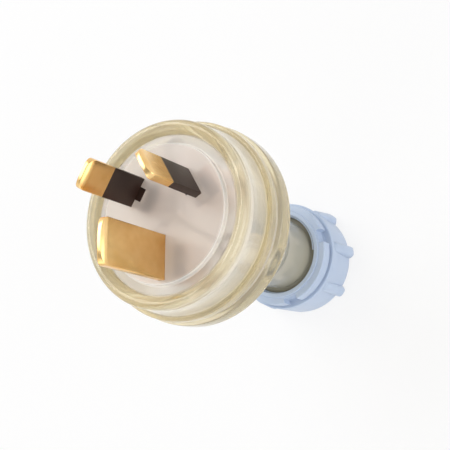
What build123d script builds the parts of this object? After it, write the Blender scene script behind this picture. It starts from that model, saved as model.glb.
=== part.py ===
from build123d import *
from math import cos, radians, sin
import os

os.makedirs("parts", exist_ok=True)

# A rewireable flat-pin mains plug, stood on the rear face of its gland nut with the pins up.
# Z runs along the plug's axis. Depths are measured back from the pin face.

# Pin pattern
pin_width = 6.35
pin_thickness = 1.63
pin_length = 17.06
pin_circle_radius = 7.92
pin_angle = 30.0
earth_width = 9.08
earth_length = 19.94
earth_circle_radius = 10.31
pattern_rise = 1.3

# Pin tips, and the tangs that reach back into the terminals
tip_bevel_length = 1.5
tip_bevel_depth = 0.5
tip_corner_radius = 1.3
sleeve_wall = 0.4
sleeve_edge_wall = 0.6
tang_thickness = pin_thickness - 2 * sleeve_wall
tang_width = pin_width - 2 * sleeve_edge_wall
tang_reach = 2.2

# Insulating sleeves on the active and neutral pins
sleeve_length = 9.6
sleeve_seat = 4.0
key_width = 2.8
key_reach = 1.5
key_depth = 1.6
slot_clearance = 0.04

# Radii of the housing, from its largest radius inwards
cover_radius = 21.3
band_setback = 0.4
band_radius = cover_radius - band_setback
joint_groove_depth = 0.5
joint_radius = band_radius - joint_groove_depth
band_step = 0.8
flare_radius = band_radius - band_step
wall_flare = 0.9
waist_radius = flare_radius - wall_flare
rim_overhang = 0.2
rim_radius = waist_radius + rim_overhang
rim_crown_inset = 1.2
rim_crown_radius = rim_radius - rim_crown_inset
spigot_step = 1.8
spigot_radius = joint_radius - spigot_step
spigot_wall = 1.2
inner_radius = spigot_radius - spigot_wall
lip_width = 0.8
lip_radius = inner_radius - lip_width
shell_clearance = 0.1
base_flange_radius = inner_radius - shell_clearance
ledge_radius = lip_radius - shell_clearance
ledge_width = 2.05
disc_radius = ledge_radius - ledge_width

# Pin base, back from the pin face
ledge_drop = 1.1
base_flange_depth = 3.2
base_thickness = 5.2
disc_edge_round = 0.35
barrier_thickness = 1.4
barrier_length = 7.4
barrier_depth = base_thickness + barrier_length
pillar_radius = 2.6
pillar_inset = 0.5
pillar_circle_radius = base_flange_radius - pillar_radius - pillar_inset
pillar_length = 9.3
pillar_depth = base_thickness + pillar_length
pillar_angles = (90, 210, 330)

# Terminals
block_radial = 7.0
block_tangential = 7.4
block_height = 7.5
block_depth = base_thickness + block_height
block_chamfer = 0.4
tunnel_radius = 1.7
tunnel_setback = 2.9
tunnel_depth = block_depth - tunnel_setback
terminal_thread_radius = 1.7
terminal_head_radius = 2.5
terminal_head_height = 1.5
terminal_head_gap = 0.5
terminal_head_chamfer = 0.35
terminal_slot_width = 0.7
terminal_slot_depth = 0.8
screw_grip = 1.2
pilot_clearance = 0.05

# Front housing, back from the pin face
rim_crown_rise = 0.35
rim_edge_depth = 0.9
waist_depth = 2.5
wall_length = 6.9
band_width = 2.5
band_end_depth = wall_length + band_width
band_chamfer = 0.3
joint_groove_width = 1.4
joint_depth = band_end_depth + joint_groove_width
spigot_length = 2.8
spigot_depth = joint_depth + spigot_length

# Rear cover
cover_band_width = 4.0
cover_band_depth = joint_depth + cover_band_width
cover_band_round = 0.9
cover_wall = 2.0
cover_step = 1.9
shoulder_radius = cover_radius - cover_step
shoulder_length = 20.2
shoulder_end_depth = cover_band_depth + shoulder_length
neck_radius = 8.4
neck_flare = 1.2
shoulder_end_radius = neck_radius + neck_flare
shoulder_bulge = 1.0
shoulder_mid_radius = (shoulder_radius + shoulder_end_radius) / 2 + shoulder_bulge
shoulder_mid_depth = (cover_band_depth + shoulder_end_depth) / 2 - shoulder_bulge / 2
neck_blend_length = 3.5
neck_start_depth = shoulder_end_depth + neck_blend_length
neck_length = 18.5
neck_end_depth = neck_start_depth + neck_length
neck_wall = 2.0
neck_bore_radius = neck_radius - neck_wall
thread_rise = 0.7
thread_radius = neck_radius + thread_rise
thread_length = 7.5
thread_start_depth = neck_end_depth - thread_length
neck_end_chamfer = 0.4

# Case screws
screw_seat_wall = 3.5
screw_seat_depth = pillar_depth + screw_seat_wall
case_thread_radius = 1.4
case_screw_clearance = 0.2
case_screw_reach = 7.5
case_screw_tip_depth = pillar_depth - case_screw_reach
case_head_radius = 2.5
case_head_height = 1.7
case_head_round = 0.8
pocket_clearance = 0.4
pocket_radius = case_head_radius + pocket_clearance
pocket_wall = 1.4
cross_width = 0.7
cross_length = 3.0
cross_depth = 1.0

# Cord grommet, pressed into a socket in the end of the neck
grommet_clearance = 0.15
grommet_socket_wall = 1.55
grommet_socket_radius = thread_radius - grommet_socket_wall
grommet_radius = grommet_socket_radius - grommet_clearance
grommet_plug_length = 2.4
grommet_seat_depth = neck_end_depth - grommet_plug_length
grommet_lip = 0.8
grommet_flange_radius = grommet_radius + grommet_lip
grommet_flange_thickness = 1.3
grommet_end_depth = neck_end_depth + grommet_flange_thickness
grommet_wall = 2.4
grommet_bore_radius = grommet_radius - grommet_wall
grommet_chamfer = 0.4

# Gland nut bore and slip ring
thread_clearance = 0.3
nut_bore_radius = thread_radius + thread_clearance
ring_snap = 0.4
slip_ring_radius = nut_bore_radius + ring_snap
slip_ring_wall = 3.9
slip_ring_bore_radius = slip_ring_radius - slip_ring_wall
slip_ring_thickness = 1.1
slip_ring_gap = 0.3
slip_ring_start_depth = grommet_end_depth + slip_ring_gap
slip_ring_end_depth = slip_ring_start_depth + slip_ring_thickness
slip_ring_play = 0.05
slip_ring_clearance = 0.1
slip_ring_chamfer = 0.25
chamber_radius = slip_ring_radius + slip_ring_clearance
chamber_start_depth = slip_ring_start_depth - slip_ring_play
chamber_end_depth = slip_ring_end_depth + slip_ring_play

# Gland nut outside, from its castellated collar to its rear face
nut_cover_length = 8.5
nut_front_depth = neck_end_depth - nut_cover_length
nut_lip_relief = 0.25
nut_lip_radius = nut_bore_radius + nut_lip_relief
nut_lip_depth = 1.2
collar_wall = 2.65
collar_radius = nut_lip_radius + collar_wall
collar_step_inset = 1.6
collar_step_radius = collar_radius - collar_step_inset
collar_step = 0.35
collar_length = 3.35
collar_end_depth = nut_front_depth + collar_length
notch_depth = 1.35
notch_width = 3.4
notch_count = 4
notch_angle = 16.0
groove_depth = 1.1
groove_radius = collar_radius - groove_depth
groove_width = 0.45
skirt_start_depth = collar_end_depth + groove_width
skirt_overhang = 0.6
skirt_front_radius = collar_radius + skirt_overhang
skirt_taper = 0.5
skirt_rear_radius = skirt_front_radius - skirt_taper
skirt_round = 1.6
edge_chamfer = 0.25
rib_group_angles = (6, 186)
rib_spread_angles = (-45, 0, 45)
rib_width = 2.6
rib_front_reach = 0.25
rib_rear_reach = 1.5
rib_end_margin = 0.9
rib_straight_length = 2.5
rib_round = 0.55
cord_hole_inset = 0.4
cord_hole_radius = slip_ring_bore_radius - cord_hole_inset
cord_hole_round = 1.3
nut_end_wall = 4.05

# Height of the pin face when the plug stands on its nut
face_height = chamber_end_depth + nut_end_wall


def below(depth):
    # Height of a point that lies this far behind the pin face
    return face_height - depth


def pattern_point(angle, radius):
    # Place on the pin face, from the centre of the pin pattern
    return radius * cos(radians(angle)), pattern_rise + radius * sin(radians(angle))


def station(angle, radius, depth):
    # Plane across the axis at a pin or terminal, with its X pointing outwards
    x, y = pattern_point(angle, radius)
    outwards = (cos(radians(angle)), sin(radians(angle)), 0)
    return Plane(origin=(x, y, below(depth)), x_dir=outwards, z_dir=(0, 0, 1))


def upright(angle, radius, turn):
    # Plane that stands along the axis at a pin, with its X turned from the outward direction
    x, y = pattern_point(angle, radius)
    across = Vector(cos(radians(angle + turn)), sin(radians(angle + turn)), 0)
    return Plane(origin=(x, y, face_height), x_dir=across, z_dir=across.cross(Vector(0, 0, 1)))


def corners_at(section, radius):
    # Corners of a turned section that lie at this radius
    return section.vertices().filter_by_position(Axis.X, radius - 0.01, radius + 0.01)


def build_blade(label, angle, radius, width_turn, width, length, step_height):
    # Broad outline with rounded corners, crossed with an edge-on outline that bevels the tip
    with BuildPart() as blade:
        with BuildSketch(upright(angle, radius, width_turn)) as broad:
            with Locations((0, step_height)):
                Rectangle(width, length - step_height, align=(Align.CENTER, Align.MIN))
            fillet(broad.vertices().sort_by(Axis.Y)[-2:], tip_corner_radius)
        extrude(amount=pin_thickness / 2, both=True)
        with BuildSketch(upright(angle, radius, width_turn + 90).offset(-width)) as edge_on:
            with Locations((0, step_height)):
                Rectangle(pin_thickness, length - step_height, align=(Align.CENTER, Align.MIN))
            chamfer(edge_on.vertices().sort_by(Axis.Y)[-2:], tip_bevel_length, tip_bevel_depth)
        extrude(amount=2 * width, mode=Mode.INTERSECT)
        with BuildSketch(station(angle, radius, base_thickness + tang_reach)):
            Rectangle(tang_thickness, tang_width, rotation=width_turn - 90)
        extrude(amount=base_thickness + tang_reach + step_height)
    blade.part.label = label
    export_step(blade.part, f"parts/{label}.step")


neutral_angle = 180 - pin_angle
earth_angle = 270

build_blade("active_pin", pin_angle, pin_circle_radius, 90, pin_width, pin_length, sleeve_length)
build_blade("neutral_pin", neutral_angle, pin_circle_radius, 90, pin_width, pin_length, sleeve_length)
build_blade("earth_pin", earth_angle, earth_circle_radius, 0, earth_width, earth_length, -sleeve_seat)


def build_sleeve(label, angle):
    # Flush with the blade above it, on a reduced core, with a locating key on the inner side
    with BuildPart() as sleeve:
        with BuildSketch(station(angle, pin_circle_radius, sleeve_seat)):
            Rectangle(pin_thickness, pin_width)
        extrude(amount=sleeve_seat + sleeve_length)
        with BuildSketch(station(angle, pin_circle_radius, key_depth)):
            with Locations((-pin_thickness / 2, 0)):
                Rectangle(key_reach, key_width, align=(Align.MAX, Align.CENTER))
        extrude(amount=key_depth)
        with BuildSketch(station(angle, pin_circle_radius, sleeve_seat)):
            Rectangle(tang_thickness, tang_width)
        extrude(amount=sleeve_seat + sleeve_length, mode=Mode.SUBTRACT)
    sleeve.part.label = label
    export_step(sleeve.part, f"parts/{label}.step")


build_sleeve("active_sleeve", pin_angle)
build_sleeve("neutral_sleeve", neutral_angle)


def build_terminal(label, angle, radius, blade_turn):
    # Brass tunnel block: the tang from the front, the wire from the middle of the plug
    with BuildPart() as block:
        with BuildSketch(station(angle, radius, block_depth)):
            Rectangle(block_radial, block_tangential)
        extrude(amount=block_height)
        chamfer(block.edges().filter_by(Axis.Z), block_chamfer)
        with BuildSketch(station(angle, radius, base_thickness + tang_reach)):
            Rectangle(tang_thickness, tang_width, rotation=blade_turn)
        extrude(amount=tang_reach, mode=Mode.SUBTRACT)
        with BuildSketch(upright(angle, radius, 90)):
            with Locations((0, -tunnel_depth)):
                Circle(tunnel_radius)
        extrude(amount=block_radial, both=True, mode=Mode.SUBTRACT)
        with BuildSketch(station(angle, radius, block_depth)):
            Circle(terminal_thread_radius + pilot_clearance)
        extrude(amount=block_depth - tunnel_depth, mode=Mode.SUBTRACT)
    block.part.label = label
    export_step(block.part, f"parts/{label}.step")


def build_terminal_screw(label, angle, radius):
    # Slotted screw that enters the block from behind and reaches into the wire tunnel
    head_front_depth = block_depth + terminal_head_gap
    head_rear_depth = head_front_depth + terminal_head_height
    tip_depth = tunnel_depth + tunnel_radius - screw_grip
    with BuildPart() as screw:
        with BuildSketch(station(angle, radius, head_rear_depth)):
            Circle(terminal_head_radius)
        extrude(amount=terminal_head_height)
        chamfer(screw.edges().sort_by(Axis.Z)[0], terminal_head_chamfer)
        with BuildSketch(station(angle, radius, head_front_depth)):
            Circle(terminal_thread_radius)
        extrude(amount=head_front_depth - tip_depth)
        with BuildSketch(station(angle, radius, head_rear_depth)):
            Rectangle(2 * terminal_head_radius, terminal_slot_width)
        extrude(amount=terminal_slot_depth, mode=Mode.SUBTRACT)
    screw.part.label = label
    export_step(screw.part, f"parts/{label}.step")


terminals = {
    "active": (pin_angle, pin_circle_radius, 0),
    "neutral": (neutral_angle, pin_circle_radius, 0),
    "earth": (earth_angle, earth_circle_radius, 90),
}
for pole, (angle, radius, blade_turn) in terminals.items():
    build_terminal(f"{pole}_terminal", angle, radius, blade_turn)
    build_terminal_screw(f"{pole}_terminal_screw", angle, radius)

# Pin base: a raised disc on a flanged plate, with barriers and three screw pillars behind it
with BuildPart() as pin_base:
    with BuildSketch(Plane.XZ) as plate_section:
        with BuildLine():
            Polyline(
                [
                    (0, below(base_thickness)),
                    (base_flange_radius, below(base_thickness)),
                    (base_flange_radius, below(base_flange_depth)),
                    (ledge_radius, below(base_flange_depth)),
                    (ledge_radius, below(ledge_drop)),
                    (disc_radius, below(ledge_drop)),
                    (disc_radius, below(0)),
                    (0, below(0)),
                ],
                close=True,
            )
        make_face()
        fillet(corners_at(plate_section, disc_radius).sort_by(Axis.Y)[-1], disc_edge_round)
    revolve(axis=Axis.Z)
    with BuildSketch(Plane.XY.offset(below(barrier_depth))):
        for angle in pillar_angles:
            with Locations(Rotation(0, 0, angle)):
                Rectangle(pillar_circle_radius, barrier_thickness, align=(Align.MIN, Align.CENTER))
    extrude(amount=barrier_depth - base_thickness)
    with BuildSketch(Plane.XY.offset(below(pillar_depth))):
        for angle in pillar_angles:
            with PolarLocations(pillar_circle_radius, 1, start_angle=angle):
                Circle(pillar_radius)
    extrude(amount=pillar_depth - base_thickness)
    with BuildSketch(Plane.XY.offset(below(pillar_depth))):
        for angle in pillar_angles:
            with PolarLocations(pillar_circle_radius, 1, start_angle=angle):
                Circle(case_thread_radius + pilot_clearance)
    extrude(amount=pillar_depth - case_screw_tip_depth + pilot_clearance, mode=Mode.SUBTRACT)
    for angle, radius, turn, width in (
        (pin_angle, pin_circle_radius, 0, pin_width),
        (neutral_angle, pin_circle_radius, 0, pin_width),
        (earth_angle, earth_circle_radius, 90, earth_width),
    ):
        with BuildSketch(station(angle, radius, sleeve_seat)):
            Rectangle(
                pin_thickness + 2 * slot_clearance,
                width + 2 * slot_clearance,
                rotation=turn,
            )
        extrude(amount=sleeve_seat, mode=Mode.SUBTRACT)
        with BuildSketch(station(angle, radius, base_thickness)):
            Rectangle(
                tang_thickness + 2 * slot_clearance,
                tang_width + 2 * slot_clearance,
                rotation=turn,
            )
        extrude(amount=base_thickness - sleeve_seat, mode=Mode.SUBTRACT)
    for angle in (pin_angle, neutral_angle):
        with BuildSketch(station(angle, pin_circle_radius, key_depth)):
            with Locations((-pin_thickness / 2, 0)):
                Rectangle(
                    key_reach + slot_clearance,
                    key_width + 2 * slot_clearance,
                    align=(Align.MAX, Align.CENTER),
                )
        extrude(amount=key_depth, mode=Mode.SUBTRACT)
pin_base.part.label = "pin_base"
export_step(pin_base.part, "parts/pin_base.step")

# Front housing: crowned rim, flared wall with a band, and a spigot into the rear cover
with BuildPart() as front_housing:
    with BuildSketch(Plane.XZ) as shell_section:
        with BuildLine():
            lip = Line((lip_radius, below(base_flange_depth)), (lip_radius, below(ledge_drop)))
            crown = ThreePointArc(
                lip @ 1,
                (rim_crown_radius - (rim_crown_radius - lip_radius) / 2, below(0)),
                (rim_crown_radius, below(-rim_crown_rise)),
            )
            edge = ThreePointArc(
                crown @ 1,
                (rim_radius - (rim_radius - rim_crown_radius) / 4, below(0)),
                (rim_radius, below(rim_edge_depth)),
            )
            wall = Polyline(
                [
                    edge @ 1,
                    (waist_radius, below(waist_depth)),
                    (flare_radius, below(wall_length)),
                    (band_radius, below(wall_length)),
                    (band_radius, below(band_end_depth)),
                    (joint_radius, below(band_end_depth)),
                    (joint_radius, below(joint_depth)),
                    (spigot_radius, below(joint_depth)),
                    (spigot_radius, below(spigot_depth)),
                    (inner_radius, below(spigot_depth)),
                    (inner_radius, below(base_flange_depth)),
                ]
            )
            Line(wall @ 1, lip @ 0)
        make_face()
        chamfer(corners_at(shell_section, band_radius), band_chamfer)
    revolve(axis=Axis.Z)
front_housing.part.label = "front_housing"
export_step(front_housing.part, "parts/front_housing.step")

# Space inside the rear cover, with the screw bosses left standing in it
socket_radius = spigot_radius + shell_clearance
boss_radius = pocket_radius + pocket_wall
with BuildPart() as cover_space:
    with BuildSketch(Plane.XZ):
        with BuildLine():
            socket = Polyline(
                [
                    (0, below(joint_depth)),
                    (socket_radius, below(joint_depth)),
                    (socket_radius, below(spigot_depth + shell_clearance)),
                    (shoulder_radius - cover_wall, below(spigot_depth + shell_clearance)),
                    (shoulder_radius - cover_wall, below(cover_band_depth)),
                ]
            )
            dome = ThreePointArc(
                socket @ 1,
                (shoulder_mid_radius - cover_wall, below(shoulder_mid_depth)),
                (shoulder_end_radius - cover_wall, below(shoulder_end_depth)),
            )
            Polyline(
                [
                    dome @ 1,
                    (neck_bore_radius, below(neck_start_depth)),
                    (neck_bore_radius, below(grommet_seat_depth)),
                    (grommet_socket_radius, below(grommet_seat_depth)),
                    (grommet_socket_radius, below(neck_end_depth)),
                    (0, below(neck_end_depth)),
                    (0, below(joint_depth)),
                ]
            )
        make_face()
    revolve(axis=Axis.Z)
    with BuildSketch(Plane.XY.offset(below(shoulder_end_depth))):
        for angle in pillar_angles:
            with PolarLocations(pillar_circle_radius, 1, start_angle=angle):
                Circle(boss_radius)
    extrude(amount=shoulder_end_depth - pillar_depth, mode=Mode.SUBTRACT)

# Rear cover: flange band, domed shoulder with three screw pockets, and the threaded neck
with BuildPart() as rear_cover:
    with BuildSketch(Plane.XZ) as cover_section:
        with BuildLine():
            band = Polyline(
                [
                    (0, below(joint_depth)),
                    (cover_radius, below(joint_depth)),
                    (cover_radius, below(cover_band_depth)),
                    (shoulder_radius, below(cover_band_depth)),
                ]
            )
            shoulder = ThreePointArc(
                band @ 1,
                (shoulder_mid_radius, below(shoulder_mid_depth)),
                (shoulder_end_radius, below(shoulder_end_depth)),
            )
            blend = RadiusArc(shoulder @ 1, (neck_radius, below(neck_start_depth)), neck_radius)
            Polyline(
                [
                    blend @ 1,
                    (neck_radius, below(thread_start_depth)),
                    (thread_radius, below(thread_start_depth + thread_rise)),
                    (thread_radius, below(neck_end_depth - neck_end_chamfer)),
                    (thread_radius - neck_end_chamfer, below(neck_end_depth)),
                    (0, below(neck_end_depth)),
                    (0, below(joint_depth)),
                ]
            )
        make_face()
        band_corners = corners_at(cover_section, cover_radius)
        fillet(band_corners.sort_by(Axis.Y)[0], cover_band_round)
        chamfer(band_corners.sort_by(Axis.Y)[-1], band_chamfer)
    revolve(axis=Axis.Z)
    add(cover_space.part, mode=Mode.SUBTRACT)
    with BuildSketch(Plane.XY.offset(below(neck_start_depth))):
        for angle in pillar_angles:
            with PolarLocations(pillar_circle_radius, 1, start_angle=angle):
                Circle(pocket_radius)
    extrude(amount=neck_start_depth - screw_seat_depth, mode=Mode.SUBTRACT)
    with BuildSketch(Plane.XY.offset(below(screw_seat_depth))):
        for angle in pillar_angles:
            with PolarLocations(pillar_circle_radius, 1, start_angle=angle):
                Circle(case_thread_radius + case_screw_clearance)
    extrude(amount=screw_seat_depth - pillar_depth, mode=Mode.SUBTRACT)
rear_cover.part.label = "rear_cover"
export_step(rear_cover.part, "parts/rear_cover.step")

# Case screws: cross-recess heads in the pockets, threaded into the pillars
for number, angle in enumerate(pillar_angles, start=1):
    screw_x = pillar_circle_radius * cos(radians(angle))
    screw_y = pillar_circle_radius * sin(radians(angle))
    head_rear = below(screw_seat_depth + case_head_height)
    with BuildPart() as case_screw:
        with BuildSketch(Plane(origin=(screw_x, screw_y, head_rear))):
            Circle(case_head_radius)
        extrude(amount=case_head_height)
        fillet(case_screw.edges().sort_by(Axis.Z)[0], case_head_round)
        with BuildSketch(Plane(origin=(screw_x, screw_y, below(screw_seat_depth)))):
            Circle(case_thread_radius)
        extrude(amount=screw_seat_depth - case_screw_tip_depth)
        with BuildSketch(Plane(origin=(screw_x, screw_y, head_rear))):
            Rectangle(cross_length, cross_width)
            Rectangle(cross_width, cross_length)
        extrude(amount=cross_depth, mode=Mode.SUBTRACT)
    case_screw.part.label = f"case_screw_{number}"
    export_step(case_screw.part, f"parts/case_screw_{number}.step")

# Cord grommet: pressed into the end of the neck, with a flange on the neck's end face
with BuildPart() as cord_grommet:
    with BuildSketch(Plane.XZ) as grommet_section:
        with BuildLine():
            Polyline(
                [
                    (grommet_bore_radius, below(grommet_seat_depth)),
                    (grommet_radius, below(grommet_seat_depth)),
                    (grommet_radius, below(neck_end_depth)),
                    (grommet_flange_radius, below(neck_end_depth)),
                    (grommet_flange_radius, below(grommet_end_depth)),
                    (grommet_bore_radius, below(grommet_end_depth)),
                ],
                close=True,
            )
        make_face()
        flange_edge = grommet_section.vertices().sort_by(Axis.X)[-2:]
        chamfer(flange_edge, grommet_chamfer)
    revolve(axis=Axis.Z)
cord_grommet.part.label = "cord_grommet"
export_step(cord_grommet.part, "parts/cord_grommet.step")

# Slip ring: snapped into a groove of the nut, it keeps the turning nut off the grommet
with BuildPart() as slip_ring:
    with BuildSketch(Plane.XY.offset(below(slip_ring_end_depth))):
        Circle(slip_ring_radius)
        Circle(slip_ring_bore_radius, mode=Mode.SUBTRACT)
    extrude(amount=slip_ring_thickness)
    chamfer(slip_ring.edges().filter_by(GeomType.CIRCLE), slip_ring_chamfer)
slip_ring.part.label = "slip_ring"
export_step(slip_ring.part, "parts/slip_ring.step")

# One finger rib of the nut, prouder to the rear and rounded outside
with BuildPart() as rib:
    with BuildSketch(Plane.XZ):
        with BuildLine():
            Polyline(
                [
                    (groove_radius, below(skirt_start_depth + rib_end_margin)),
                    (skirt_front_radius + rib_front_reach, below(skirt_start_depth + rib_end_margin)),
                    (skirt_rear_radius + rib_rear_reach, rib_end_margin + rib_straight_length),
                    (skirt_rear_radius + rib_rear_reach, rib_end_margin),
                    (groove_radius, rib_end_margin),
                ],
                close=True,
            )
        make_face()
    extrude(amount=rib_width / 2, both=True)
    outside = rib.faces().filter_by(lambda face: face.center().X > skirt_front_radius)
    fillet(outside.edges(), rib_round)

# Gland nut: castellated collar, groove, a skirt with two groups of ribs, and an end wall with the cord hole
with BuildPart() as gland_nut:
    with BuildSketch(Plane.XZ) as nut_section:
        with BuildLine():
            Polyline(
                [
                    (nut_lip_radius, below(nut_front_depth)),
                    (collar_step_radius, below(nut_front_depth)),
                    (collar_step_radius, below(nut_front_depth + collar_step)),
                    (collar_radius, below(nut_front_depth + collar_step)),
                    (collar_radius, below(collar_end_depth)),
                    (groove_radius, below(collar_end_depth)),
                    (groove_radius, below(skirt_start_depth)),
                    (skirt_front_radius, below(skirt_start_depth)),
                    (skirt_rear_radius, 0),
                    (cord_hole_radius, 0),
                    (cord_hole_radius, below(chamber_end_depth)),
                    (chamber_radius, below(chamber_end_depth)),
                    (chamber_radius, below(chamber_start_depth)),
                    (nut_bore_radius, below(chamber_start_depth)),
                    (nut_bore_radius, below(nut_front_depth + nut_lip_depth)),
                    (nut_lip_radius, below(nut_front_depth + nut_lip_depth)),
                ],
                close=True,
            )
        make_face()
        rear_corners = nut_section.vertices().sort_by(Axis.Y)[:2].sort_by(Axis.X)
        fillet(rear_corners[0], cord_hole_round)
        fillet(rear_corners[-1], skirt_round)
        chamfer(corners_at(nut_section, collar_radius), edge_chamfer)
        chamfer(corners_at(nut_section, skirt_front_radius), edge_chamfer)
    revolve(axis=Axis.Z)
    with BuildSketch(Plane.XY.offset(below(collar_end_depth))):
        with PolarLocations(collar_radius - notch_depth, notch_count, start_angle=notch_angle):
            Rectangle(skirt_front_radius, notch_width, align=(Align.MIN, Align.CENTER))
    extrude(amount=collar_length, mode=Mode.SUBTRACT)
    for group_angle in rib_group_angles:
        for spread_angle in rib_spread_angles:
            with Locations(Rotation(0, 0, group_angle + spread_angle)):
                add(rib.part)
gland_nut.part.label = "gland_nut"
export_step(gland_nut.part, "parts/gland_nut.step")
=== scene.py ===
import bpy
import bmesh
import math
from mathutils import Matrix, Vector


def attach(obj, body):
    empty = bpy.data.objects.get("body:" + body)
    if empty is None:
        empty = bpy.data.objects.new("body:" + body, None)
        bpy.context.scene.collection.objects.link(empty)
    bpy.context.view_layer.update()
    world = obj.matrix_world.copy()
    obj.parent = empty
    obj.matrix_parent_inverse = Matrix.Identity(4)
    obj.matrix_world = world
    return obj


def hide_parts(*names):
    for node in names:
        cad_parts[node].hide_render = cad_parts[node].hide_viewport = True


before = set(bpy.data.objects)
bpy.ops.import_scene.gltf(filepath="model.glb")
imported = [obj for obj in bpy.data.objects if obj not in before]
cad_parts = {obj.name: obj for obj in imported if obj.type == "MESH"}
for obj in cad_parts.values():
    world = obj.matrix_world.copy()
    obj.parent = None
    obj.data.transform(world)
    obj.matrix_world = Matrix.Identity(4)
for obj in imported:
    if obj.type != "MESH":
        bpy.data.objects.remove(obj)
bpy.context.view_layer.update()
mm = 0.001

# Sizes are in millimetres and angles in degrees. A depth runs from the pin face towards the cord
plug = {
    "face": 63.8,
    "rise": 1.3,
    "pillarCircle": 14.2,
    "pillars": (90, 210, 330),
    "pillarDepth": 14.5,
    # How far a cutting shape runs past the surface that it opens
    "past": 1.0,
}
face = plug["face"]
past = plug["past"]
liveBlade = {
    "width": 6.35,
    "length": 17.06,
    "foot": 9.6,
    "seat": 4.0,
    "key": {"width": 2.8, "reach": 1.5, "depth": 1.6},
}
earthBlade = {"width": 9.08, "length": 19.94, "foot": -4.0, "seat": 4.0}
poles = {
    "active": {"angle": 30, "circle": 7.92, "twist": 0, "blade": liveBlade},
    "neutral": {"angle": 150, "circle": 7.92, "twist": 0, "blade": liveBlade},
    "earth": {"angle": 270, "circle": 10.31, "twist": 90, "blade": earthBlade},
}


# Mesh helpers
def addObject(name, mesh):
    item = bpy.data.objects.new(name, mesh)
    bpy.context.scene.collection.objects.link(item)
    return item


def keepShape(name, shape):
    # Turns a bmesh into an object
    mesh = bpy.data.meshes.new(name)
    shape.to_mesh(mesh)
    shape.free()
    return addObject(name, mesh)


def atAngle(angle, radius, rise=0.0):
    return radius * math.cos(math.radians(angle)), rise + radius * math.sin(math.radians(angle))


def softCorners(points, steps):
    # Each point is (x, y, rounding): the corner becomes an arc of that radius
    outline = []
    tiny = 1e-6
    for i, (x, y, rounding) in enumerate(points):
        here = Vector((x, y))
        before = Vector(points[i - 1][:2]) - here
        after = Vector(points[(i + 1) % len(points)][:2]) - here
        if rounding <= 0 or before.length < tiny or after.length < tiny:
            outline.append((x, y))
            continue
        before.normalize()
        after.normalize()
        half = before.angle(after) / 2
        reach = rounding / math.tan(half)
        centre = here + (before + after).normalized() * (rounding / math.sin(half))
        first = here + before * reach - centre
        last = here + after * reach - centre
        turn = first.angle_signed(last)
        for k in range(steps + 1):
            spoke = first.copy()
            spoke.rotate(Matrix.Rotation(-turn * k / steps, 2))
            outline.append(tuple(centre + spoke))
    return outline


def section(points, steps=6):
    # Points are (radius, depth, rounding); the outline that comes back is (radius, height)
    corners = [(radius, -depth, rounding) for radius, depth, rounding in points]
    return [(radius, face + height) for radius, height in softCorners(corners, steps)]


def arcThrough(a, middle, b, steps):
    # Corners without rounding on the circle through three (radius, depth) points, ends included
    (ax, ay), (mx, my), (bx, by) = [(radius, -depth) for radius, depth in (a, middle, b)]
    d = 2 * (ax * (my - by) + mx * (by - ay) + bx * (ay - my))
    sa, sm, sb = ax * ax + ay * ay, mx * mx + my * my, bx * bx + by * by
    cx = (sa * (my - by) + sm * (by - ay) + sb * (ay - my)) / d
    cy = (sa * (bx - mx) + sm * (ax - bx) + sb * (mx - ax)) / d
    start, mid, end = [math.atan2(y - cy, x - cx) for x, y in ((ax, ay), (mx, my), (bx, by))]
    radius = math.hypot(ax - cx, ay - cy)
    sweep = (end - start) % (2 * math.pi)
    if (mid - start) % (2 * math.pi) > sweep:
        sweep -= 2 * math.pi
    angles = [start + sweep * k / steps for k in range(steps + 1)]
    return [(cx + radius * math.cos(a), -(cy + radius * math.sin(a)), 0) for a in angles]


def revolve(name, outline, steps):
    weld = 1e-7
    shape = bmesh.new()
    rings = []
    for s in range(steps):
        angle = 2 * math.pi * s / steps
        ring = [(r * math.cos(angle) * mm, r * math.sin(angle) * mm, z * mm) for r, z in outline]
        rings.append([shape.verts.new(point) for point in ring])
    for s in range(steps):
        one, two = rings[s], rings[(s + 1) % steps]
        for k in range(len(outline)):
            n = (k + 1) % len(outline)
            shape.faces.new((one[k], one[n], two[n], two[k]))
    bmesh.ops.remove_doubles(shape, verts=shape.verts, dist=weld)
    bmesh.ops.recalc_face_normals(shape, faces=shape.faces)
    return keepShape(name, shape)


def loft(name, rings):
    # Joins rings of points into a closed skin with flat ends
    shape = bmesh.new()
    rows = [[shape.verts.new(Vector(point) * mm) for point in ring] for ring in rings]
    for one, two in zip(rows, rows[1:]):
        for k in range(len(one)):
            n = (k + 1) % len(one)
            shape.faces.new((one[k], one[n], two[n], two[k]))
    shape.faces.new(rows[0][::-1])
    shape.faces.new(rows[-1])
    bmesh.ops.recalc_face_normals(shape, faces=shape.faces)
    return keepShape(name, shape)


def block(name, size, place, turn=0.0, bevel=0.0, segments=3):
    # Upright box turned about Z, with all its edges rounded
    shape = bmesh.new()
    bmesh.ops.create_cube(shape, size=1)
    bmesh.ops.scale(shape, vec=Vector(size) * mm, verts=shape.verts)
    if bevel > 0:
        kind = {"segments": segments, "profile": 0.5, "affect": "EDGES"}
        bmesh.ops.bevel(shape, geom=shape.edges[:], offset=bevel * mm, **kind)
    spin = Matrix.Rotation(math.radians(turn), 3, "Z")
    bmesh.ops.rotate(shape, cent=(0, 0, 0), matrix=spin, verts=shape.verts)
    bmesh.ops.translate(shape, vec=Vector(place) * mm, verts=shape.verts)
    return keepShape(name, shape)


def tube(name, radius, low, high, place, steps):
    # Upright cylinder between two heights, used for cutting and for bosses
    shape = bmesh.new()
    ends = {"radius1": radius * mm, "radius2": radius * mm, "cap_ends": True}
    bmesh.ops.create_cone(shape, segments=steps, depth=(high - low) * mm, **ends)
    middle = (place[0] * mm, place[1] * mm, (low + high) / 2 * mm)
    bmesh.ops.translate(shape, vec=middle, verts=shape.verts)
    return keepShape(name, shape)


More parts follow.
